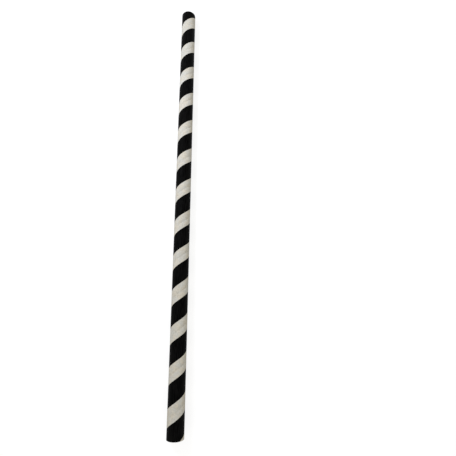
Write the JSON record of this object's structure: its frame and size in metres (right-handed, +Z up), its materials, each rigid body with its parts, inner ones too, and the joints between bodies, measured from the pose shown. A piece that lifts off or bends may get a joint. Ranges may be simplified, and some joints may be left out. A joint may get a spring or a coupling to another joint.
{
  "type": "paper drinking straw",
  "caption": "Straight drinking straw: a thin tube of spirally wound paper with square-cut open ends and a black and off-white spiral stripe.",
  "frame": {"origin": "on the surface that the straw lies on, under the middle of its length", "axes": "+Y along the bore towards the far end, +Z up from the surface, +X to the right"},
  "size_m": [0.0068, 0.197, 0.0068],
  "materials": {
    "printed_paper": "warm off-white uncoated paper with a fine fibre grain, printed outside with a black spiral stripe that has a soft sheen"
  },
  "bodies": {
    "root": {"straw_tube": "printed_paper"}
  },
  "joints": []
}
